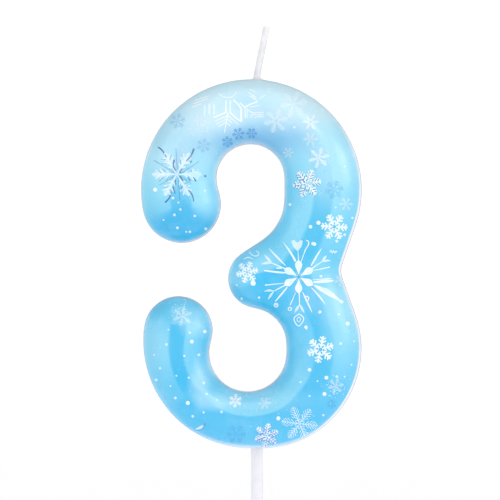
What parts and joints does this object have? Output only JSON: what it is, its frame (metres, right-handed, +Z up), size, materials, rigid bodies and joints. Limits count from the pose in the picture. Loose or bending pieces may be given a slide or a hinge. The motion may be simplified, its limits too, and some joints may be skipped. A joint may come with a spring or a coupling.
{
  "type": "number candle",
  "caption": "Numeral birthday candle with a pillowed wax figure, an icy printed film on its front, a short waxed wick and a stick that pushes into a cake.",
  "frame": {"origin": "centre of the stick's lower end face, on the stick's axis", "axes": "+Z up along the stick, +X to the right as seen from the front, and the printed front faces -Y"},
  "size_m": [0.0449, 0.0123, 0.1359],
  "materials": {
    "wax": "satin cast paraffin wax",
    "print": "satin-gloss printed transfer film",
    "stick_plastic": "satin extruded plastic",
    "cotton": "braided cotton",
    "wick_wax": "thin translucent wax coat"
  },
  "bodies": {
    "stick": {"stick": "stick_plastic"},
    "figure": {"figure_wax": "wax", "printed_film": "print", "wick_root": "cotton"},
    "wick": {"wick_braid": "cotton", "wick_coat": "wick_wax"}
  },
  "joints": [
    {"name": "figure_lift", "type": "slide", "parent": "stick", "child": "figure", "axis": [0, 0, 1], "range_m": [0, 0.012]},
    {"name": "wick_bend", "type": "hinge", "parent": "figure", "child": "wick", "pos_m": [0, 0, 0.1258], "axis": [0, 1, 0], "range_deg": [-70, 50]}
  ]
}
